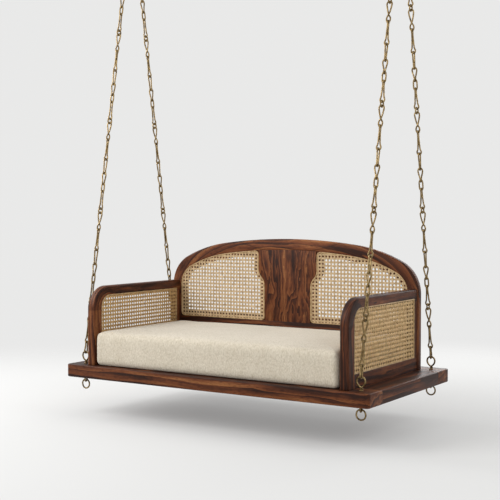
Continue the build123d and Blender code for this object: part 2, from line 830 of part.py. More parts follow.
def make_back():
    splat, rail, stile, crest = back_pieces()
    keep("back_splat", splat)
    keep("back_bottom_rail", rail)
    keep("back_crest_rail", crest)
    keep_both("back_stile", stile, grouped=False)
    joined = [("back_stile", "back_crest_rail"), ("back_stile", "back_bottom_rail"),
              ("back_stile", "back_bottom_rail"), ("back_splat", "back_bottom_rail"),
              ("back_splat", "back_crest_rail")]
    for (tenon, slot), pair in zip(back_joints(), joined):
        keep_both("back_tenons", tenon)
        cut_both(slot, *pair)
    cane, spline = back_cane()
    keep_both("back_cane", cane, grouped=False)
    keep_both("back_cane_spline", spline, grouped=False)


def make_footings():
    joined = [("front_rail", "arm_post"), ("back_rail", "back_stile"), ("back_rail", "back_bottom_rail")]
    for (tenon, slot), pair in zip(foot_joints(), joined):
        keep_both("foot_tenons", tenon)
        cut_both(slot, *pair)


def make_cushion():
    width = arm_inner_x - cushion_side_gap
    front = arm_front_y - cushion_front_reach
    cushion = block(-width, width, front, back_front_y - cushion_back_gap, cushion_lift, cushion_thickness)
    cushion = relieved(cushion.edges().filter_by(Axis.Z), cushion_corner_cut)
    cushion = relieved(edges_on(cushion, "Z", cushion_thickness), cushion_top_cut)
    keep("seat_cushion", relieved(edges_on(cushion, "Z", cushion_lift), cushion_foot_cut))


def make_ironwork():
    for place, y, rail in (("front", eye_front_y, "front_rail"), ("back", eye_back_y, "back_rail")):
        keep_both("eye_bolts", eye_bolt(y))
        cut_both(bolt_hole(y), rail)
        keep_both("plate_washers", plate_washer(y))
        keep_both("eye_nuts", eye_nut(y))
        keep_both(f"{place}_tie_ring", tie_ring(y), grouped=False)
        for link in chain(y):
            keep_both(f"{place}_chain", link, grouped=False)
    keep_both("spreader", spreader(), grouped=False)
    keep_both("hanger_link", hanger(), grouped=False)
    keep_both("ceiling_pin", ceiling_pin(), grouped=False)
    keep_both("ceiling_plate", ceiling_plate(), grouped=False)


def export_all():
    """Move the origin to the ceiling, midway between the brackets, and write each node."""
    os.makedirs("parts", exist_ok=True)
    shift = Location((0, -hang_setback, -ceiling_level()))
    for name, solids in nodes.items():
        moved = [solid.moved(shift) for solid in solids]
        shape = moved[0] if len(moved) == 1 else Compound(children=moved)
        export_step(shape, f"parts/{name}.step")


make_deck()
make_arms()
make_back()
make_footings()
make_cushion()
make_ironwork()
export_all()
print("deck top at", round(-ceiling_level(), 2), "pins at", round(pin_level() - ceiling_level(), 2))
print("chain length", round(chain_length, 2), "links in each chain", len(chain_order))
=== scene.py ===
"""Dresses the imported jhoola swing: oiled wood, woven cane, a woolly cushion and aged brass chains.

Sizes are millimetres from the middle of the deck's top face, as in the part's own source, and
at() turns them into metres in the row frame.
"""
import math

import bpy
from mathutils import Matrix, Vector


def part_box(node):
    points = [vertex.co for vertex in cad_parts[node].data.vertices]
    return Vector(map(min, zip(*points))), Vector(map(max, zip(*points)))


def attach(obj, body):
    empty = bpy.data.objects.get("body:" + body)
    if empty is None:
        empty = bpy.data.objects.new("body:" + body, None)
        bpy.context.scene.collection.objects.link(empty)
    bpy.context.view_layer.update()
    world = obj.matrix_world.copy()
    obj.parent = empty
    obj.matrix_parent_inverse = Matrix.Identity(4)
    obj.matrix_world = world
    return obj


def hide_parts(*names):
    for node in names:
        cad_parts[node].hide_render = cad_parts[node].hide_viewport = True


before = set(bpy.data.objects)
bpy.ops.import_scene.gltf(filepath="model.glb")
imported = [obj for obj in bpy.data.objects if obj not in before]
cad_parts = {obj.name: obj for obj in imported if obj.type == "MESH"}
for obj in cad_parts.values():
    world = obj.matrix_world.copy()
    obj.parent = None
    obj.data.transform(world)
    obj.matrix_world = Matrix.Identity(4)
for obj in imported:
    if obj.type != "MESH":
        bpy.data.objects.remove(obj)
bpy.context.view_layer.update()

MM = 0.001
UP = Vector((0, 0, 1))
SIDES = (("left", -1), ("right", 1))
PLACES = ("front", "back")

# ---- where things are, read from the frame ---------------------------
front_rail_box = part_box("front_rail")
back_rail_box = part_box("back_rail")
deck_top = front_rail_box[1].z
deck_middle_y = (front_rail_box[0].y + back_rail_box[1].y) / 2
half_depth = (back_rail_box[1].y - front_rail_box[0].y) / 2 / MM
half_length = front_rail_box[1].x / MM
hang_setback = -deck_middle_y / MM

# ---- camera ----------------------------------------------------------
camera_place = (2467.4, -3886.9, 663.9)
camera_turn = 32.665
camera_dip = 1.884
camera_lens = 75.45
sensor_width = 36
view_distance = 100

# ---- floor and light -------------------------------------------------
floor_depth = 228
floor_size = 12
floor_fade = (1.1, 3.6)
floor_colour = (0.485, 0.485, 0.48)
floor_lift = 0.295
backdrop_colour = (0.815, 0.815, 0.81)
ambient_strength = 0.68
# Each lamp: its place and target in millimetres, its sides in metres, its power in watts.
lamps = {
    "key": ((-2000, -2700, 2500), (0, 0, 100), (2.2, 2.2), 104),
    "left": ((-3500, -300, 1750), (0, 0, 0), (1.6, 1.6), 60),
    "right": ((3300, 300, 2400), (0, 0, 0), (1.6, 1.6), 28),
    "front_fill": ((2600, -3000, 900), (0, 0, 200), (2.0, 2.0), 16),
    "back": ((300, 3000, 1150), (0, 200, -150), (2.4, 1.4), 36),
}

# ---- wood tones and grain --------------------------------------------
# Ramps are lists of (position, colour).  Positions across a board are in millimetres.
wood_tones = [(0.45, (0.026, 0.008, 0.004)), (0.525, (0.076, 0.0215, 0.008)),
              (0.60, (0.145, 0.044, 0.015)), (0.73, (0.265, 0.105, 0.036))]
pore_tones = [(0.34, (0.40, 0.37, 0.35)), (0.42, (1, 1, 1))]
# What swirl, from 0 to 1, adds to each value of the plain grain.
plain_grain = {"warp_length": 0.12, "warp_reach": 0.10, "ring_scale": 11.0, "lift": 0.0,
               "patch_share": 0.95, "streak_share": 0.75}
swirl_adds = {"warp_length": 0.16, "warp_reach": 0.06, "ring_scale": 15.0, "lift": 0.31,
              "patch_share": -0.45, "streak_share": -0.15}
ring_share = 0.34
fibre_share = 0.16
fibre_stretch = (420, 14)
pore_stretch = (700, 45)
board_step = 0.37
heart_distance = (0.10, 0.16)
heart_step = 0.003
arm_corner = 105
arch_springing = 120
arch_power = 3
arch_scale = 0.5
lens_depth = 62
lens_radius = 760
lens_wander = 0.016
lens_scale = 12.0
lens_edge = 0.3
lens_tones = [(0.26, (1, 1, 1)), (0.30, (0.45, 0.42, 0.40)), (0.34, (1.0, 1.0, 1.0)),
              (0.50, (1.30, 1.34, 1.35))]
# Painted shade and light, in part: these pieces are darkened, and lightened where the amount is
# negative, for how the light falls on them as well as for their own tone.
board_shade = {"right_arm": 0.12, "right_end_rail": 0.12, "left_arm_top": 0.04,
               "left_arm_post": -0.09, "bottom_rail": 0.06}
band_wander = 0.12
splat_bands = [(-12, 14, 0.16), (-62, 20, -0.12), (44, 14, -0.11), (88, 12, 0.08)]

# ---- other tones -----------------------------------------------------
back_cane_colours = ((0.68, 0.50, 0.29), (0.42, 0.28, 0.14))
# Painted light and shade: both arms hold one cane, painted darker on the left arm's shaded inner face
# and lighter on the right arm's lit outer face.
left_cane_painted_shade_colours = ((0.66, 0.43, 0.19), (0.40, 0.23, 0.085))
right_cane_painted_light_colours = ((0.76, 0.52, 0.245), (0.47, 0.28, 0.105))
reed_colours = ((0.56, 0.38, 0.19), (0.32, 0.19, 0.08))
cane_line_tones = [(0.3, (0.82, 0.80, 0.76)), (0.6, (1, 1, 1))]
brass_tones = [(0.30, (0.105, 0.069, 0.030)), (0.50, (0.205, 0.141, 0.064)),
               (0.75, (0.33, 0.242, 0.112))]
# Cloth colour on the loops and a darker tone between them, painted shade in the crevices.
boucle_crevice_shade_tones = [(0.20, (0.71, 0.642, 0.528)), (0.80, (0.55, 0.485, 0.375))]
slub_tones = [(0.34, (0.92, 0.90, 0.87)), (0.56, (1, 1, 1))]
broad_tones = [(0.35, (0.95, 0.945, 0.935)), (0.65, (1, 1, 1))]
loop_stretch = (1, 0.65, 0.5)

# ---- cane ------------------------------------------------------------
cane_pitch = 16.8
cane_pair_gap = 3.9
cane_strand_width = 3.8
cane_diagonal_width = 3.1
cane_strand_half_height = 0.36
cane_weave = 0.45
cane_diagonal_shift = 0.2
outer_weave_shift = Vector((3.6, -4.4))
reed_width = 5.5
reed_height = 2.4
reed_steps = 6
# Two places nearer than this, in metres, are one.
same_place = 1e-5

# ---- chains ----------------------------------------------------------
eye_x = half_length - 61.5
eye_y = {"front": 62 - half_depth, "back": half_depth - 55}
converge_height = 2135
wire_radius = 2.8
drawn_wire = 3.3
link_gap = 0.3
foot_gap = 0.6
eye_top_height = 54
eye_wire = 3.6
link_overlap = 2 * wire_radius + link_gap


def at(x, y, z):
    """A place in the row frame, in metres."""
    return Vector((x * MM, deck_middle_y + y * MM, deck_top + z * MM))


def smoothstep(low, high, value):
    t = min(max((value - low) / (high - low), 0.0), 1.0)
    return t * t * (3 - 2 * t)


# ---- mesh helpers ----------------------------------------------------
def add_object(name, mesh, material, smooth=True):
    obj = bpy.data.objects.new(name, mesh)
    bpy.context.scene.collection.objects.link(obj)
    mesh.materials.append(material)
    for polygon in mesh.polygons:
        polygon.use_smooth = smooth
    return obj


def mesh_of(name, points, faces):
    mesh = bpy.data.meshes.new(name)
    mesh.from_pydata([tuple(p) for p in points], [], faces)
    mesh.update()
    return mesh


class Builder:
    """Gathers tubes and other swept forms into one mesh."""

    def __init__(self):
        self.points = []
        self.faces = []

    def sections(self, rings, closed):
        """Skins a list of equal rings of points."""
        start = len(self.points)
        size = len(rings[0])
        for ring in rings:
            self.points += ring
        count = len(rings)
        for i in range(count if closed else count - 1):
            a, b = start + i * size, start + (i + 1) % count * size
            for j in range(size):
                k = (j + 1) % size
                self.faces.append((a + j, a + k, b + k, b + j))
        if not closed:
            self.faces.append(tuple(start + j for j in reversed(range(size))))
            self.faces.append(tuple(start + (count - 1) * size + j for j in range(size)))

    def tube(self, path, radius, closed, sides=8):
        """A round bar along a path of points, with as little twist as the path allows."""
        count = len(path)
        tangents = []
        for i in range(count):
            before = path[i - 1] if closed or i else path[i]
            after = path[(i + 1) % count] if closed or i < count - 1 else path[i]
            tangents.append((after - before).normalized())
        side = tangents[0].orthogonal().normalized()
        frames = []
        for tangent in tangents:
            side = (side - tangent * side.dot(tangent)).normalized()
            frames.append((side, tangent.cross(side)))
        turn = 0.0
        if closed:
            last, first = frames[-1][0], frames[0][0]
            last = (last - tangents[0] * last.dot(tangents[0])).normalized()
            turn = math.atan2(last.cross(first).dot(tangents[0]), last.dot(first))
        rings = []
        for i, (across, out) in enumerate(frames):
            ring = []
            for j in range(sides):
                angle = 2 * math.pi * j / sides + turn * i / count
                ring.append(path[i] + (across * math.cos(angle) + out * math.sin(angle)) * radius)
            rings.append(ring)
        self.sections(rings, closed)

    def lathe(self, base, axis, profile, sides=24):
        """A turned form: profile is a list of (height, radius) along axis from base."""
        across = axis.orthogonal().normalized()
        out = axis.cross(across)
        rings = []
        for height, radius in profile:
            turns = [2 * math.pi * j / sides for j in range(sides)]
            rings.append([base + axis * height + (across * math.cos(t) + out * math.sin(t)) * radius
                          for t in turns])
        self.sections(rings, closed=False)

    def make(self, name, material):
        return add_object(name, mesh_of(name, self.points, self.faces), material)


def curve_through(points, closed, steps):
    """A smooth path through points."""
    count = len(points)
    path = []
    for i in range(count if closed else count - 1):
        p0 = points[i - 1] if closed or i else points[i]
        p1, p2 = points[i], points[(i + 1) % count]
        p3 = points[(i + 2) % count] if closed or i < count - 2 else p2
        for k in range(steps):
            t = k / steps
            path.append(0.5 * (2 * p1 + (p2 - p0) * t + (2 * p0 - 5 * p1 + 4 * p2 - p3) * t * t
                               + (3 * p1 - p0 - 3 * p2 + p3) * t * t * t))
    if not closed:
        path.append(points[-1])
    return path


def rounded_path(points, radius, steps):
    """A closed path with its corners rounded."""
    path = []
    for before, corner, after in zip([points[-1]] + points[:-1], points, points[1:] + points[:1]):
        start = corner + (before - corner).normalized() * radius
        end = corner + (after - corner).normalized() * radius
        for k in range(steps + 1):
            t = k / steps
            path.append(start * (1 - t) ** 2 + corner * 2 * t * (1 - t) + end * t * t)
    return path


# ---- materials -------------------------------------------------------
class Shader:
    """A small helper that adds linked nodes to a material."""

    def __init__(self, name):
        self.material = bpy.data.materials.new(name)
        self.material.use_nodes = True
        self.tree = self.material.node_tree
        self.surface = self.tree.nodes["Principled BSDF"]

    def feed(self, socket, value):
        """Links a socket to another node's socket, or sets its plain value."""
        if isinstance(value, bpy.types.NodeSocket):
            self.tree.links.new(value, socket)
        else:
            socket.default_value = value

    def add(self, kind, inputs=None, **settings):
        node = self.tree.nodes.new("ShaderNode" + kind)
        for key, value in settings.items():
            setattr(node, key, value)
        for key, value in (inputs or {}).items():
            self.feed(node.inputs[key], value)
        return node

    def place(self, scale=None):
        """The object's own coordinates, stretched by scale."""
        coordinates = self.add("TexCoord").outputs["Object"]
        if scale is None:
            return coordinates
        return self.add("Mapping", {"Vector": coordinates, "Scale": scale}).outputs["Vector"]

    def noise(self, vector, scale, detail, roughness=0.5):
        return self.add("TexNoise", {"Vector": vector, "Scale": scale, "Detail": detail,
                                     "Roughness": roughness})

    def ramp(self, value, stops):
        node = self.add("ValToRGB", {"Fac": value})
        elements = node.color_ramp.elements
        while len(elements) < len(stops):
            elements.new(0.5)
        for element, (position, colour) in zip(elements, stops):
            element.position = position
            element.color = (*colour, 1)
        return node.outputs["Color"]

    def math(self, operation, a, b=0.0):
        return self.add("Math", {0: a, 1: b}, operation=operation).outputs[0]

    def sum(self, value, amount, rest):
        """value * amount + rest"""
        return self.add("Math", {0: value, 1: amount, 2: rest}, operation="MULTIPLY_ADD").outputs[0]

    def vector(self, operation, a, b):
        return self.add("VectorMath", {0: a, 1: b}, operation=operation).outputs[0]

    def length(self, vector):
        return self.add("VectorMath", {0: vector}, operation="LENGTH").outputs["Value"]

    def split(self, vector):
        return self.add("SeparateXYZ", {0: vector}).outputs

    def join(self, x, y, z):
        return self.add("CombineXYZ", {0: x, 1: y, 2: z}).outputs[0]

    def multiply(self, factor, a, b):
        """Two colours multiplied.  A Mix node has sockets of one name for each data type."""
        node = self.add("Mix", {0: factor}, data_type="RGBA", blend_type="MULTIPLY")
        for name, value in (("A", a), ("B", b)):
            self.feed(next(s for s in node.inputs if s.name == name and s.type == "RGBA"), value)
        return next(s for s in node.outputs if s.type == "RGBA")

    def finish(self, colour, roughness, height=None, strength=0.3, distance=0.001, **surface):
        """Connects the main sockets.  Plain values go straight onto the shader."""
        self.feed(self.surface.inputs["Base Color"], colour)
        self.feed(self.surface.inputs["Roughness"], roughness)
        for key, value in surface.items():
            self.surface.inputs[key.replace("_", " ")].default_value = value
        if height is not None:
            bump = self.add("Bump", {"Height": height, "Strength": strength, "Distance": distance})
            self.tree.links.new(bump.outputs["Normal"], self.surface.inputs["Normal"])
        return self.material


def arm_flow(shader):
    """Grain that runs up an arm's front post, round its corner and back along its top rail."""
    low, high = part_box("left_arm_post")[0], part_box("left_arm_top_rail")[1]
    x, y, z = shader.split(shader.place())
    forward = shader.math("SUBTRACT", low.y + arm_corner * MM, y)
    upward = shader.math("SUBTRACT", z, high.z - arm_corner * MM)
    ahead, above = (shader.math("MAXIMUM", value, 0.0) for value in (forward, upward))
    beyond = shader.length(shader.join(ahead, above, 0.0))
    inside = shader.math("MINIMUM", shader.math("MAXIMUM", forward, upward), 0.0)
    return shader.join(shader.math("ADD", y, z), x, shader.math("ADD", beyond, inside))


def arch_flow(shader):
    """Grain that follows the back's arch from one foot over the crest to the other."""
    x, y, z = shader.split(shader.place())
    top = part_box("back_crest_rail")[1]
    springing = deck_top + arch_springing * MM
    across = shader.math("DIVIDE", shader.math("ABSOLUTE", x), top.x)
    rise = shader.math("MAXIMUM", shader.math("SUBTRACT", z, springing), 0.0)
    rise = shader.math("DIVIDE", rise, top.z - springing)
    across, rise = (shader.math("POWER", value, arch_power) for value in (across, rise))
    level = shader.math("POWER", shader.math("ADD", across, rise), 1 / arch_power)
    return shader.join(shader.math("ADD", x, z), y, shader.math("MULTIPLY", level, arch_scale))


def band(shader, warp, distance, width):
    """A soft lengthwise band, at a distance from the middle, that wanders from side to side."""
    sideways = shader.math("SUBTRACT", shader.split(shader.place())["X"], distance)
    wander = shader.sum(shader.split(warp.outputs["Color"])["X"], band_wander, sideways)
    away = shader.math("DIVIDE", shader.math("SUBTRACT", wander, band_wander / 2), width)
    return shader.math("EXPONENT", shader.math("MULTIPLY", shader.math("MULTIPLY", away, away), -1.0))


def wood(name, along, seed, swirl=0.0, flow=None, bands=(), lens=None, shade=0.0):
    """Oiled sheesham: dark streaks over reddish brown, fine fibres and short open pores.

    along is the grain's axis, seed picks the board, and swirl, from 0 to 1, makes the figure livelier.
    flow bends the grain along a curved piece.  bands lie lengthwise at a distance across, as
    (distance, half width, amount), lens is a paler eye of flat-sawn grain, and shade darkens a board.
    """
    shader = Shader(name)
    if flow:
        place, along = flow(shader), "X"
    else:
        place = shader.place()
    grain = {key: value + swirl_adds[key] * swirl for key, value in plain_grain.items()}
    shift = [board_step * ((seed * 7 + k * 5) % 11) for k in range(3)]
    for axis, amount in zip([a for a in "XYZ" if a != along], heart_distance):
        shift["XYZ".index(axis)] = amount + heart_step * seed
    place = shader.vector("ADD", place, shift)

    def stretched(across, length, vector=place):
        return shader.vector("MULTIPLY", vector, [length if a == along else across for a in "XYZ"])

    warp = shader.noise(stretched(1, grain["warp_length"]), 9.0, 3.0)
    bent = shader.vector("MULTIPLY", warp.outputs["Color"], [grain["warp_reach"]] * 3)
    moved = shader.vector("ADD", stretched(1, 0.09), bent)
    rings = shader.add("TexWave", {"Vector": moved, "Scale": grain["ring_scale"], "Distortion": 2.6,
                                   "Detail": 3.0, "Detail Scale": 2.2, "Detail Roughness": 0.6},
                       wave_type="RINGS", rings_direction=along, wave_profile="SAW")
    patches = shader.noise(moved, 21.0, 5.0, 0.66)
    streaks = shader.noise(stretched(1, 0.5, moved), 62.0, 4.0, 0.6)
    fibre = shader.noise(stretched(*fibre_stretch), 1.0, 2.0)
    pores = shader.noise(stretched(*pore_stretch), 1.0, 0.0)
    tone = grain["lift"] - shade
    for source, share in ((rings, ring_share), (patches, grain["patch_share"]),
                          (streaks, grain["streak_share"]), (fibre, fibre_share)):
        tone = shader.sum(source.outputs["Fac"], share, tone)
    for distance, width, amount in bands:
        tone = shader.sum(band(shader, warp, distance * MM, width * MM), amount, tone)
    colour = shader.ramp(shader.math("MULTIPLY", tone, 0.5), wood_tones)
    if lens:
        colour = lens(shader, colour, warp)
    pore = shader.ramp(pores.outputs["Fac"], pore_tones)
    colour = shader.multiply(0.8, colour, pore)
    roughness = shader.sum(fibre.outputs["Fac"], 0.22, 0.36)
    return shader.finish(colour, roughness, pore, 0.25, 0.0004, Specular_IOR_Level=0.15)


def crest_lens(shader, colour, warp):
    """The crest's paler eye, with a fine dark line where it meets the darker wood below."""
    x, _, z = shader.split(shader.place())
    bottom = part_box("back_crest_rail")[1].z - lens_depth * MM
    sag = shader.math("MULTIPLY", shader.math("MULTIPLY", x, x), 1 / (2 * lens_radius * MM))
    height = shader.math("SUBTRACT", shader.math("SUBTRACT", z, sag), bottom)
    height = shader.math("SUBTRACT", height, lens_wander / 2)
    height = shader.sum(warp.outputs["Fac"], lens_wander, height)
    tint = shader.ramp(shader.sum(height, lens_scale, lens_edge), lens_tones)
    return shader.multiply(1.0, colour, tint)


def cane_material(name, base, dark):
    """Split cane: pale and glossy, with darker stretches and faint lines."""
    shader = Shader(name)
    spots = shader.noise(shader.place(), 70.0, 4.0)
    lines = shader.noise(shader.place(), 900.0, 1.0)
    light = tuple(1.12 * v for v in base)
    colour = shader.ramp(spots.outputs["Fac"], [(0.30, dark), (0.55, base), (0.80, light)])
    colour = shader.multiply(0.7, colour, shader.ramp(lines.outputs["Fac"], cane_line_tones))
    return shader.finish(colour, 0.48, lines.outputs["Fac"], 0.3, 0.0003)


def brass_material():
    """Aged brass: brown-gold with darker patina in patches."""
    shader = Shader("aged_brass")
    patches = shader.noise(shader.place(), 95.0, 4.0)
    marks = shader.noise(shader.place(), 700.0, 2.0)
    colour = shader.ramp(patches.outputs["Fac"], brass_tones)
    roughness = shader.sum(patches.outputs["Fac"], -0.22, 0.50)
    return shader.finish(colour, roughness, marks.outputs["Fac"], 0.15, 0.0003, Metallic=1.0)


def cushion_material():
    """Cream boucle: woolly loops drawn out a little along the cloth, with painted shade between them.
    """
    shader = Shader("boucle")
    place = shader.place(loop_stretch)
    wobble = shader.noise(place, 120.0, 2.0)
    moved = shader.vector("ADD", place, shader.vector("MULTIPLY", wobble.outputs["Color"], [0.006] * 3))
    loops = shader.add("TexVoronoi", {"Vector": moved, "Scale": 235.0, "Randomness": 1.0},
                       feature="SMOOTH_F1")
    slubs = shader.noise(place, 125.0, 3.0, 0.65)
    fuzz = shader.noise(shader.place(), 800.0, 3.0)
    broad = shader.noise(place, 12.0, 3.0)
    height = shader.sum(loops.outputs["Distance"], -1.0, fuzz.outputs["Fac"])
    height = shader.sum(slubs.outputs["Fac"], 0.55, height)
    colour = shader.ramp(loops.outputs["Distance"], boucle_crevice_shade_tones)
    colour = shader.multiply(0.9, colour, shader.ramp(slubs.outputs["Fac"], slub_tones))
    colour = shader.multiply(1.0, colour, shader.ramp(broad.outputs["Fac"], broad_tones))
    return shader.finish(colour, 0.95, height, 0.65, 0.002, Sheen_Weight=0.3, Sheen_Roughness=0.5,
                         Specular_IOR_Level=0.12)


brass = brass_material()
cane = cane_material("split_cane", *back_cane_colours)
# The arms' cane in a lit and a shaded copy: painted shade on the left arm, painted light on the right.
arm_cane = {"left": cane_material("cane_painted_shade", *left_cane_painted_shade_colours),
            "right": cane_material("cane_painted_light", *right_cane_painted_light_colours)}
reed = cane_material("reed", *reed_colours)
boucle = cushion_material()

# ---- wood: the CAD pieces, with eased edges --------------------------
grain_along = {
    "X": ["front_rail", "back_rail", "back_bottom_rail", "back_crest_rail", "seat_slats"],
    "Y": ["end_rail", "arm_top_rail", "arm_bottom_rail", "seat_bearers"],
    "Z": ["arm_post", "arm_stile", "back_stile", "back_splat"],
}
sharp_angle = 28
flat_angle = 0.6
weld_distance = 0.02
edge_steps = 4
joint_ease = 0.05
plain_edge = 1.0
edge_width = {"crest": 4.0, "arm_top_rail": 4.5, "rail": 2.5, "post": 4.5, "stile": 3.0, "splat": 2.5,
              "plate": 1.0, "washer": 0.4, "pin": 0.6}


def edge_key(*ends):
    return tuple(sorted(tuple(round(v, 4) for v in end) for end in ends))


def sharp_edges(obj):
    """The edges of a node where its faces turn by more than the sharp angle."""
    mesh = obj.data
    normals = {}
    for polygon in mesh.polygons:
        corners = [mesh.vertices[i].co for i in polygon.vertices]
        for a, b in zip(corners, corners[1:] + corners[:1]):
            normals.setdefault(edge_key(a, b), []).append(polygon.normal)
    limit = math.cos(math.radians(sharp_angle))
    return {key for key, sides in normals.items() if len(sides) == 2 and sides[0].dot(sides[1]) < limit}


def finish_edges(name, joints=frozenset()):
    """Welds an imported mesh and bevels its sharp edges, those at joints by a hairline."""
    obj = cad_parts[name]
    mesh = obj.data
    sharp = sharp_edges(obj)
    weights = mesh.attributes.new("bevel_weight_edge", "FLOAT", "EDGE")
    for edge in mesh.edges:
        key = edge_key(*(mesh.vertices[i].co for i in edge.vertices))
        if key in sharp:
            weights.data[edge.index].value = joint_ease if key in joints else 1.0
    weld = obj.modifiers.new("weld", "WELD")
    weld.merge_threshold = weld_distance * MM
    flat = obj.modifiers.new("flat", "DECIMATE")
    flat.decimate_type = "DISSOLVE"
    flat.angle_limit = math.radians(flat_angle)
    bevel = obj.modifiers.new("bevel", "BEVEL")
    width = next((width for word, width in edge_width.items() if word in name), plain_edge)
    bevel.width = width * MM
    bevel.segments = edge_steps
    bevel.limit_method = "WEIGHT"
    bevel.harden_normals = True
    for polygon in mesh.polygons:
        polygon.use_smooth = True


def repaint(obj, material):
    obj.data.materials.clear()
    obj.data.materials.append(material)


# The seeds that pick the boards of the arch, of each arm's bend and of the splat.
arch_board = 5
arm_board = {"left": 3, "right": 8}
splat_board = 6
tenon_board = 4
bent_swirl = 0.2
splat_swirl = 1.0


def wood_for(name, along, seed):
    """The boards differ a little in tone, as boards do, and the curved ones have bent grain. Pieces
    named in board_shade are also darkened, or lightened where negative, partly as painted shade and
    light.
    """
    shade = next((amount for word, amount in board_shade.items() if word in name), 0.0)
    if name in ("back_crest_rail", "left_back_stile", "right_back_stile"):
        lens = crest_lens if name == "back_crest_rail" else None
        return wood("wood_" + name, along, arch_board, bent_swirl, arch_flow, lens=lens)
    if name.endswith(("arm_post", "arm_top_rail")):
        board = arm_board[name.split("_")[0]]
        return wood("wood_" + name, along, board, bent_swirl, arm_flow, shade=shade)
    if name == "back_splat":
        return wood("wood_" + name, along, splat_board, splat_swirl, bands=splat_bands)
    return wood("wood_" + name, along, seed, shade=shade)


def dress_wood():
    """Paints and softens the wooden pieces.  A sharp edge that two of them share is a joint."""
    pieces = []
    for along, endings in grain_along.items():
        for index, ending in enumerate(endings):
            for name, obj in sorted(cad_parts.items()):
                if name.endswith(ending):
                    pieces.append((name, obj))
                    repaint(obj, wood_for(name, along, index * 3 + sum(map(ord, name)) % 7))
    owners = {}
    for name, obj in pieces:
        for key in sharp_edges(obj):
            owners.setdefault(key, set()).add(name)
    joints = {key for key, names in owners.items() if len(names) > 1}
    for name, obj in pieces:
        finish_edges(name, joints)
    for name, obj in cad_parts.items():
        if "tenon" in name:
            repaint(obj, wood("wood_" + name, "X", tenon_board))


# ---- woven cane ------------------------------------------------------
def outline_of(name, across):
    """The closed 2-D outline of a node's flat sheets, and each sheet's two levels.

    across is the axis through the thickness of the sheets.
    """
    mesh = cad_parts[name].data
    flat = [k for k in range(3) if k != across]
    levels = sorted({round(v.co[across], 5) for v in mesh.vertices})
    edges = {}
    for polygon in mesh.polygons:
        corners = [mesh.vertices[i].co for i in polygon.vertices]
        if all(abs(c[across] - levels[0]) < same_place for c in corners):
            keys = [tuple(round(c[k], 5) for k in flat) for c in corners]
            for a, b in zip(keys, keys[1:] + keys[:1]):
                edges[frozenset((a, b))] = edges.get(frozenset((a, b)), 0) + 1
    follow = {}
    for edge, count in edges.items():
        if count == 1:
            a, b = tuple(edge)
            follow.setdefault(a, []).append(b)
            follow.setdefault(b, []).append(a)
    start = min(follow)
    loop, previous, current = [start], None, start
    while True:
        step = [key for key in follow[current] if key != previous][0]
        if step == start:
            break
        loop.append(step)
        previous, current = current, step
    points = [Vector(key) for key in loop]
    if sum(a.x * b.y - b.x * a.y for a, b in zip(points, points[1:] + points[:1])) < 0:
        points.reverse()
    return points, list(zip(levels[::2], levels[1::2]))


def crossings(points, origin, direction):
    """Where a line enters and leaves a closed outline, as distances along it."""
    normal = Vector((-direction.y, direction.x))
    found = []
    for a, b in zip(points, points[1:] + points[:1]):
        da, db = (a - origin).dot(normal), (b - origin).dot(normal)
        if (da < 0) != (db < 0):
            place = a.lerp(b, da / (da - db))
            found.append((place - origin).dot(direction))
    return sorted(found)


def inset(points, distance):
    """A closed outline moved inwards."""
    moved = []
    for before, point, after in zip([points[-1]] + points[:-1], points, points[1:] + points[:1]):
        first, second = (point - before).normalized(), (after - point).normalized()
        a, b = Vector((-first.y, first.x)), Vector((-second.y, second.x))
        middle = (a + b).normalized()
        moved.append(point + middle * (distance / max(middle.dot(a), 0.5)))
    return moved


def lift_to(across):
    """A function that puts a 2-D place and a level back into 3-D."""
    flat = [k for k in range(3) if k != across]

    def lift(place, level):
        point = [0.0, 0.0, 0.0]
        point[flat[0]], point[flat[1]], point[across] = place.x, place.y, level
        return Vector(point)

    return lift


def strand(builder, lift, origin, direction, start, end, width, level, wave):
    """One strip of cane, waving over and under where it meets the others."""
    half_step = wave["period"] / 2
    first = math.ceil((start - wave["phase"]) / half_step)
    last = math.floor((end - wave["phase"]) / half_step)
    stations = [start] + [wave["phase"] + k * half_step for k in range(first, last + 1)] + [end]
    stations = [s for s, n in zip(stations, stations[1:] + [math.inf]) if n - s > same_place]
    side = Vector((-direction.y, direction.x)) * (width * MM / 2)
    crown = cane_strand_half_height * MM
    rings = []
    for s in stations:
        place = origin + direction * s
        height = level + wave["rise"] * MM * math.cos(math.pi * (s - wave["phase"]) / half_step)
        height += wave["shift"] * MM
        rings.append([lift(place - side, height), lift(place, height + crown),
                      lift(place + side, height), lift(place, height - crown)])
    if len(rings) > 1:
        builder.sections(rings, closed=False)


def weave(builder, outline, level, across, shift):
    """A cane panel of paired uprights and cross strands with two sets of diagonals."""
    lift = lift_to(across)
    pitch = cane_pitch * MM
    xs, ys = [p.x for p in outline], [p.y for p in outline]
    middle = Vector(((min(xs) + max(xs)) / 2, (min(ys) + max(ys)) / 2)) + shift * MM
    reach = int(max(max(xs) - min(xs), max(ys) - min(ys)) / pitch) + 2
    straight = [
        (Vector((0, 1)), Vector((1, 0)), -cane_weave),
        (Vector((1, 0)), Vector((0, -1)), cane_weave),
    ]
    for direction, step, rise in straight:
        wave = {"period": pitch, "phase": 0.0, "rise": rise, "shift": 0.0}
        for k in range(-reach, reach + 1):
            for pair in (-0.5, 0.5):
                origin = middle + step * (k * pitch + pair * cane_pair_gap * MM)
                ends = crossings(outline, origin, direction)
                for start, end in zip(ends[::2], ends[1::2]):
                    strand(builder, lift, origin, direction, start, end, cane_strand_width, level, wave)
    for sign in (-1, 1):
        direction = Vector((1, sign)).normalized()
        wave = {"period": pitch * math.sqrt(2), "phase": 0.0, "rise": cane_weave,
                "shift": cane_diagonal_shift * sign}
        for k in range(-2 * reach, 2 * reach + 1):
            origin = middle + Vector(((k + 0.5) * pitch, 0))
            ends = crossings(outline, origin, direction)
            for start, end in zip(ends[::2], ends[1::2]):
                strand(builder, lift, origin, direction, start, end, cane_diagonal_width, level, wave)


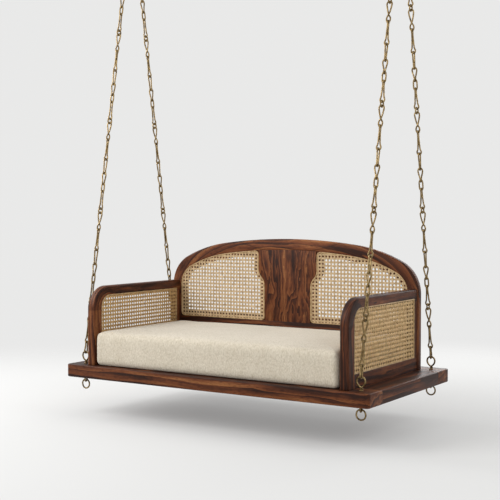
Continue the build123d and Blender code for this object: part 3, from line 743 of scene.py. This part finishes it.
def reed_spline(builder, outline, level, across, outward):
    """A half-round reed pressed into the rebate round a cane panel."""
    lift = lift_to(across)
    steps = reed_steps
    base, count = len(builder.points), len(outline)
    for k in range(steps + 1):
        angle = math.pi * k / steps
        loop = inset(outline, reed_width / 2 * (1 - math.cos(angle)) * MM)
        height = level + outward * reed_height * math.sin(angle) * MM
        builder.points += [lift(place, height) for place in loop]
    for k in range(steps):
        a, b = base + k * count, base + (k + 1) * count
        for j in range(count):
            n = (j + 1) % count
            builder.faces.append((a + j, a + n, b + n, b + j))
    a, b = base, base + steps * count
    for j in range(count):
        n = (j + 1) % count
        builder.faces.append((a + n, a + j, b + j, b + n))


def dress_cane():
    """The back has one sheet on each side of the splat; the arms are caned inside and out."""
    for side, sign in SIDES:
        for kind, across, facings in (("back", 1, (-1,)), ("arm", 0, (-1, 1))):
            node = f"{side}_{kind}_cane"
            outline, sheets = outline_of(node, across)
            panel, spline = Builder(), Builder()
            for (low, high), outward in zip(sheets, facings):
                outer = len(sheets) == 2 and outward == sign
                shift = outer_weave_shift if outer else Vector((0, 0))
                weave(panel, outline, (low + high) / 2, across, shift)
                reed_spline(spline, outline, low if outward < 0 else high, across, outward)
            panel = panel.make(node + "_weave", arm_cane[side] if kind == "arm" else cane)
            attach(panel, "seat")
            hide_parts(node)
            spline = spline.make(node + "_reed", reed)
            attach(spline, "seat")
            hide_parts(node + "_spline")


# ---- chains ----------------------------------------------------------
# Each kind of link: length between bar centres, planes of its top and bottom, and its right side as
# (half width, depth).  F lies across the swing's width and E across its depth.
link_kinds = {
    "bar": (98, "E", "F", [(4.8, 1.2), (6.6, 6), (4.6, 16), (3.5, 32), (3.5, 62), (5.4, 77),
                           (9.2, 86), (7.6, 94), (3.8, 97.5)]),
    "pear": (71, "E", "E", [(5.8, 1.3), (10, 8), (9, 20), (6.2, 52), (6.4, 64), (4.0, 70)]),
    "tear": (56, "F", "E", [(5.6, 1.3), (9.8, 8), (8.4, 19), (6, 40), (6.4, 49), (4.0, 55)]),
    "oval": (40, "F", "F", [(4.8, 1.2), (7.6, 9), (7.9, 20), (7.6, 31), (4.8, 38.8)]),
    "drop": (86, "E", "F", [(4.6, 1.2), (6.6, 6), (5.4, 22), (4.4, 50), (6.2, 65), (9.8, 76),
                            (6, 84.6)]),
    "ring": (25, "E", "E", [(6.3, 1.7), (10.8, 6.3), (12.5, 12.5), (10.8, 18.7), (6.3, 23.3)]),
    "eight": (84, "F", "F", [(6.2, 1.3), (10.8, 9), (8.8, 24), (4, 44), (0, 55), (-5.6, 63), (-8.2, 71),
                             (-5.6, 81.5)]),
    "foot": (52, "E", "E", [(4.6, 1.2), (6.6, 6), (5.8, 18), (7.4, 34), (8.6, 43), (5.4, 50.8)]),
}
crossing_lift = 3.2
crossing_depth = 55
crossing_reach = 9
bar_sides = 8
# A link's bar turns between these shares of its length.
link_twist = (0.2, 0.8)
hanger_twist = (0.3, 0.8)
module = ["bar", "pear", "tear", "oval", "drop", "ring", "eight"]
chain_order = ["tear", "tear", "oval", "drop", "ring", "eight"] + module * 3 + ["bar", "foot"]
chain_length = sum(link_kinds[kind][0] for kind in chain_order) - (len(chain_order) - 1) * link_overlap


def chain_foot(side, place):
    eye_top = Vector((side * eye_x, eye_y[place], eye_top_height))
    rise = (Vector((side * eye_x, hang_setback, converge_height)) - eye_top).normalized()
    return eye_top - rise * (eye_wire + wire_radius + foot_gap), rise


def link_path(kind, top, rise):
    """The bar's centre line round one link, as points from the deck's middle."""
    length, top_plane, bottom_plane, half = link_kinds[kind]
    stretch = 1 + 2 * (drawn_wire - wire_radius) / length
    face = Vector((1, 0, 0))
    edge = rise.cross(face)
    planes = {"F": face, "E": edge}

    def place(width, depth, lift=0.0):
        turn = smoothstep(link_twist[0] * length, link_twist[1] * length, depth) * math.pi / 2
        if top_plane == bottom_plane:
            turn = 0.0
        side = planes[top_plane] * math.cos(turn) + planes[bottom_plane] * math.sin(turn)
        lengthened = depth * stretch - (drawn_wire - wire_radius)
        return top + side * width - rise * lengthened + side.cross(rise) * lift

    def lift_at(depth):
        if kind != "eight":
            return 0.0
        return crossing_lift * math.exp(-((depth - crossing_depth) / crossing_reach) ** 2)

    right = [place(width, depth, lift_at(depth)) for width, depth in half]
    left = [place(-width, depth, -lift_at(depth)) for width, depth in reversed(half)]
    points = [place(0, 0)] + right + [place(0, length)] + left
    return [at(*point) for point in curve_through(points, True, 3)]


def dress_chains():
    for side, sign in SIDES:
        for place in PLACES:
            foot, rise = chain_foot(sign, place)
            top = foot + rise * chain_length
            builder = Builder()
            for kind in chain_order:
                builder.tube(link_path(kind, top, rise), drawn_wire * MM, True, bar_sides)
                top = top - rise * (link_kinds[kind][0] - link_overlap)
            node = f"{side}_{place}_chain"
            chain = builder.make(node + "_links", brass)
            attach(chain, f"{side}_chains")
            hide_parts(node)


# ---- eye bolts, nuts and rings ---------------------------------------
ring_radius = 20
ring_wire = 3.4
ring_steps = 40
bolt_radius = 4
bolt_length = 65
staple_gap = 0.5


def eye_bolt(builder, x, y):
    """An eye bent from one bar: up from the deck, round, and tucked behind its own neck."""
    loop = [(0, 2, 0), (0, 8, 0), (4, 13.5, 0.4), (12, 21, 0.4), (17.6, 34, 0), (13.5, 47.5, 0),
            (0, 54, 0), (-13.5, 47.5, 0), (-17.6, 34, 0), (-12, 21, 0), (-4.5, 13, 2.5),
            (1.5, 8.5, 5.4), (4.5, 5.5, 3.0)]
    points = [at(x + across, y + along, height) for across, height, along in loop]
    builder.tube(curve_through(points, False, 4), eye_wire * MM, False, 10)
    collar = [(0, 9), (1.8, 9), (3, 7.6), (3.4, 4.6)]
    builder.lathe(at(x, y, 0), UP, [(h * MM, r * MM) for h, r in collar])
    shank = [(0, bolt_radius), (bolt_length, bolt_radius)]
    builder.lathe(at(x, y, 0), -UP, [(h * MM, r * MM) for h, r in shank], 16)


def eye_nut(builder, x, y, top, ring_top):
    """A hexagon nut with a small staple welded under it."""
    nut = [(0, 8.2), (0.9, 9), (7.1, 9), (8, 8.2)]
    builder.lathe(at(x, y, top), -UP, [(h * MM, r * MM) for h, r in nut], 6)
    bottom = ring_top - 2 * ring_wire - staple_gap
    half = [(7, top - 7), (7, bottom + 4), (3.4, bottom)]
    staple = half + [(-across, height) for across, height in reversed(half)]
    points = [at(x, y + across, height) for across, height in staple]
    builder.tube(curve_through(points, False, 4), ring_wire * MM, False, 8)


def round_ring(builder, centre):
    turns = [2 * math.pi * k / ring_steps for k in range(ring_steps)]
    radius = ring_radius * MM
    path = [centre + Vector((radius * math.sin(t), 0, radius * math.cos(t))) for t in turns]
    builder.tube(path, ring_wire * MM, True, 10)


def dress_fittings():
    bolts, nuts = Builder(), Builder()
    nut_top = (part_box("plate_washers")[0].z - deck_top) / MM
    for side, sign in SIDES:
        for place in PLACES:
            node = f"{side}_{place}_tie_ring"
            low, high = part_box(node)
            ring_top = (high.z - deck_top) / MM - ring_wire
            eye_bolt(bolts, sign * eye_x, eye_y[place])
            eye_nut(nuts, sign * eye_x, eye_y[place], nut_top, ring_top)
            ring = Builder()
            round_ring(ring, (low + high) / 2)
            piece = ring.make(node + "_round", brass)
            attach(piece, f"{side}_{place}_ring")
            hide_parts(node)
    for builder, node in ((bolts, "eye_bolts"), (nuts, "eye_nuts")):
        piece = builder.make(node + "_round", brass)
        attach(piece, "seat")
        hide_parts(node)


# ---- spreaders, hangers and brackets ---------------------------------
spreader_radius = 4
spreader_bend = 7
spreader_rise = 95
spreader_seat = 16
spreader_apex_half = 11


def spreader_corners(sign):
    """The triangle's bend points: its short top and the seats where the chains hang."""
    seats = []
    for place in PLACES:
        foot, rise = chain_foot(sign, place)
        seat = foot + rise * (chain_length - wire_radius - spreader_radius - link_gap)
        seats.append((seat, rise.cross(Vector((1, 0, 0))) * spreader_seat))
    apex = max(seat.z for seat, along in seats) + spreader_rise
    corners = [Vector((sign * eye_x, hang_setback + spreader_apex_half, apex)),
               Vector((sign * eye_x, hang_setback - spreader_apex_half, apex))]
    for seat, along in seats:
        corners += [seat - along, seat + along]
    return [at(*corner) for corner in corners]


def hanger_path(sign):
    """A link that turns a quarter between the bracket's pin and the spreader."""
    low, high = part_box(f"{'right' if sign > 0 else 'left'}_hanger_link")
    length = (high.z - low.z) / MM - 2 * wire_radius
    top = (high.z - deck_top) / MM - wire_radius
    half = [(7, 1.6), (11, 9), (9.6, 22), (8.6, 44), (8.4, 56), (5.4, length - 1.4)]

    def place(width, depth):
        turn = smoothstep(hanger_twist[0] * length, hanger_twist[1] * length, depth) * math.pi / 2
        side = Vector((0, 1, 0)) * math.cos(turn) + Vector((1, 0, 0)) * math.sin(turn)
        return Vector((sign * eye_x, hang_setback, top)) + side * width - UP * depth

    right = [place(width, depth) for width, depth in half]
    left = [place(-width, depth) for width, depth in reversed(half)]
    points = [place(0, 0)] + right + [place(0, length)] + left
    return [at(*point) for point in curve_through(points, True, 4)]


def dress_hangers():
    for side, sign in SIDES:
        rod = Builder()
        triangle = rounded_path(spreader_corners(sign), spreader_bend * MM, 4)
        rod.tube(triangle, spreader_radius * MM, True, 12)
        piece = rod.make(f"{side}_spreader_round", brass)
        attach(piece, f"{side}_chains")
        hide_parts(f"{side}_spreader")
        link = Builder()
        link.tube(hanger_path(sign), wire_radius * MM, True, 10)
        piece = link.make(f"{side}_hanger_round", brass)
        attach(piece, "hangers")
        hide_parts(f"{side}_hanger_link")
        for name in (f"{side}_ceiling_plate", f"{side}_ceiling_pin"):
            repaint(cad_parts[name], brass)
            finish_edges(name)
    repaint(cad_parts["plate_washers"], brass)
    finish_edges("plate_washers")


# ---- cushion ---------------------------------------------------------
cushion_corner = 14
cushion_least_corner = 4
cushion_top_edge = 24
cushion_foot_edge = 8
cushion_crown = 6
cushion_waist = 1.5
cushion_slack = 1.5
cushion_swell = 6
cushion_squeeze = 1.2
cushion_voxel = 13
cushion_pinned = 6
cushion_pressure = 4
cushion_frames = 20


def rounded_rectangle(half_x, half_y, radius, height):
    steps = 6
    ring = []
    for quarter, (sx, sy) in enumerate(((1, 1), (-1, 1), (-1, -1), (1, -1))):
        centre = Vector((sx * (half_x - radius), sy * (half_y - radius)))
        for k in range(steps + 1):
            angle = math.pi / 2 * (quarter + k / steps)
            x, y = centre.x + radius * math.cos(angle), centre.y + radius * math.sin(angle)
            ring.append(Vector((x, y, height)))
    return ring


def cushion_block(half):
    """The cushion's case: straight sides, tight corners, a soft top edge and a tighter foot."""
    rings = []
    steps = 6
    corner, top, foot = (v * MM for v in (cushion_corner, cushion_top_edge, cushion_foot_edge))
    for edge, base, way in ((foot, -half.z, -1), (top, half.z, 1)):
        turns = [math.pi / 2 * k / steps for k in range(steps + 1)]
        for angle in (reversed(turns) if way < 0 else turns):
            inset_by = edge * (1 - math.cos(angle))
            height = base - way * edge * (1 - math.sin(angle))
            radius = max(corner - inset_by * 0.5, cushion_least_corner * MM)
            rings.append(rounded_rectangle(half.x - inset_by, half.y - inset_by, radius, height))
    builder = Builder()
    builder.sections(rings, closed=False)
    case = builder.make("cushion_case", boucle)
    remesh = case.modifiers.new("even", "REMESH")
    remesh.mode = "VOXEL"
    remesh.voxel_size = cushion_voxel * MM
    smooth = case.modifiers.new("ease", "SMOOTH")
    smooth.factor = 0.5
    smooth.iterations = 2
    evaluated = case.evaluated_get(bpy.context.evaluated_depsgraph_get())
    mesh = bpy.data.meshes.new_from_object(evaluated)
    bpy.data.objects.remove(case)
    return mesh


def stuff(cushion, half):
    """Blows the case up with Blender's cloth and keeps each point within the swell."""
    start = [v.co.copy() for v in cushion.data.vertices]
    pinned = cushion.vertex_groups.new(name="foot")
    pinned.add([i for i, co in enumerate(start) if co.z < cushion_pinned * MM - half.z], 1.0, "REPLACE")
    cloth = cushion.modifiers.new("cloth", "CLOTH")
    cloth.settings.use_pressure = True
    cloth.settings.uniform_pressure_force = cushion_pressure
    cloth.settings.effector_weights.gravity = 0
    cloth.settings.vertex_group_mass = "foot"
    scene = bpy.context.scene
    for number in range(1, cushion_frames + 1):
        scene.frame_set(number)
    evaluated = cushion.evaluated_get(bpy.context.evaluated_depsgraph_get())
    swollen = [v.co.copy() for v in evaluated.data.vertices]
    cushion.modifiers.remove(cloth)
    scene.frame_set(1)
    limit = cushion_swell * MM
    for vertex, before, after in zip(cushion.data.vertices, start, swollen):
        step = after - before
        if step.length > limit:
            step *= limit / step.length
        vertex.co = before + step


def dress_cushion():
    """A thick seat cushion: crowned on top, its sides drawn in a little between its corners."""
    low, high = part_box("seat_cushion")
    half = (high - low) / 2
    middle = (low + high) / 2
    slack = Vector((cushion_slack, cushion_slack, cushion_slack / 2)) * MM
    mesh = cushion_block(half - slack)
    cushion = add_object("cushion_boucle", mesh, boucle)
    stuff(cushion, half)
    for vertex in mesh.vertices:
        point = vertex.co
        u, v = point.x / half.x, point.y / half.y
        lift = max(0.0, (1 - u ** 4) * (1 - v ** 4))
        up = (point.z / half.z + 1) / 2
        point.z += cushion_crown * MM * lift * up
        point.x -= math.copysign(cushion_waist * MM * abs(u) ** 6 * (1 - v * v), point.x)
        point.y -= math.copysign(cushion_waist * MM * abs(v) ** 6 * (1 - u * u), point.y)
        limit = half.x + cushion_squeeze * MM
        point.x = min(max(point.x, -limit), limit)
        point.z = max(point.z, -half.z)
        vertex.co = point + middle
    smooth = cushion.modifiers.new("smooth", "SUBSURF")
    smooth.levels = 1
    smooth.render_levels = 1
    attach(cushion, "cushion")
    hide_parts("seat_cushion")


# ---- floor, light and camera -----------------------------------------
def sheet_of(name, width, depth, place, material):
    corners = [(sx * width / 2, sy * depth / 2, 0) for sx, sy in ((-1, -1), (1, -1), (1, 1), (-1, 1))]
    mesh = mesh_of(name, corners, [(0, 1, 2, 3)])
    obj = add_object(name, mesh, material, smooth=False)
    obj.location = place
    return obj


def pale_floor():
    """A floor that takes the swing's shadow and fades into the backdrop further out.

    To the camera it is lifted to the backdrop's tone, so that no horizon shows.
    """
    shader = Shader("pale_floor")
    shader.finish((*floor_colour, 1), 0.9, Specular_IOR_Level=0.0)
    rays = shader.add("LightPath").outputs
    seen = shader.math("MAXIMUM", rays["Is Camera Ray"], rays["Is Glossy Ray"])
    lift = shader.add("Emission", {"Color": (*backdrop_colour, 1),
                                   "Strength": shader.math("MULTIPLY", seen, floor_lift)})
    lit = shader.add("AddShader", {0: shader.surface.outputs[0], 1: lift.outputs[0]})
    distance = shader.length(shader.place())
    fade = shader.add("MapRange", {"Value": distance, "From Min": floor_fade[0],
                                   "From Max": floor_fade[1]}, interpolation_type="SMOOTHSTEP")
    clear = shader.add("BsdfTransparent")
    mixed = shader.add("MixShader", {"Fac": fade.outputs[0], 1: lit.outputs[0], 2: clear.outputs[0]})
    shader.feed(shader.tree.nodes["Material Output"].inputs["Surface"], mixed.outputs[0])
    floor = sheet_of("floor", floor_size, floor_size, at(0, 0, -floor_depth), shader.material)


def pale_world():
    """Seen directly or in a reflection the world is the backdrop; as a light it is weaker."""
    world = bpy.data.worlds.new("studio")
    bpy.context.scene.world = world
    world.use_nodes = True
    tree = world.node_tree
    background = tree.nodes["Background"]
    path = tree.nodes.new("ShaderNodeLightPath")
    seen = path.outputs["Is Camera Ray"]
    for other in ("Is Glossy Ray", "Is Transmission Ray"):
        both = tree.nodes.new("ShaderNodeMath")
        both.operation = "MAXIMUM"
        tree.links.new(seen, both.inputs[0])
        tree.links.new(path.outputs[other], both.inputs[1])
        seen = both.outputs[0]
    level = tree.nodes.new("ShaderNodeMapRange")
    tree.links.new(seen, level.inputs["Value"])
    level.inputs["To Min"].default_value = ambient_strength
    level.inputs["To Max"].default_value = 1.0
    tree.links.new(level.outputs[0], background.inputs["Strength"])
    background.inputs["Color"].default_value = (*backdrop_colour, 1)


def lamp(name, place, target, size, energy):
    light = bpy.data.lights.new(name, "AREA")
    light.shape = "RECTANGLE"
    light.size, light.size_y = size
    light.energy = energy
    obj = bpy.data.objects.new(name, light)
    bpy.context.scene.collection.objects.link(obj)
    obj.location = at(*place)
    obj.rotation_euler = (at(*target) - at(*place)).to_track_quat("-Z", "Y").to_euler()


def studio():
    pale_floor()
    pale_world()
    for name, settings in lamps.items():
        lamp(name, *settings)


def photograph_camera():
    camera = bpy.data.cameras.new("camera")
    camera.lens = camera_lens
    camera.sensor_width = sensor_width
    camera.clip_end = view_distance
    obj = bpy.data.objects.new("camera", camera)
    bpy.context.scene.collection.objects.link(obj)
    obj.location = at(*camera_place)
    obj.rotation_euler = (math.radians(90 - camera_dip), 0, math.radians(camera_turn))
    bpy.context.scene.camera = obj


dress_wood()
dress_cane()
dress_chains()
dress_fittings()
dress_hangers()
dress_cushion()
studio()
photograph_camera()
bpy.context.scene.view_settings.view_transform = "Standard"
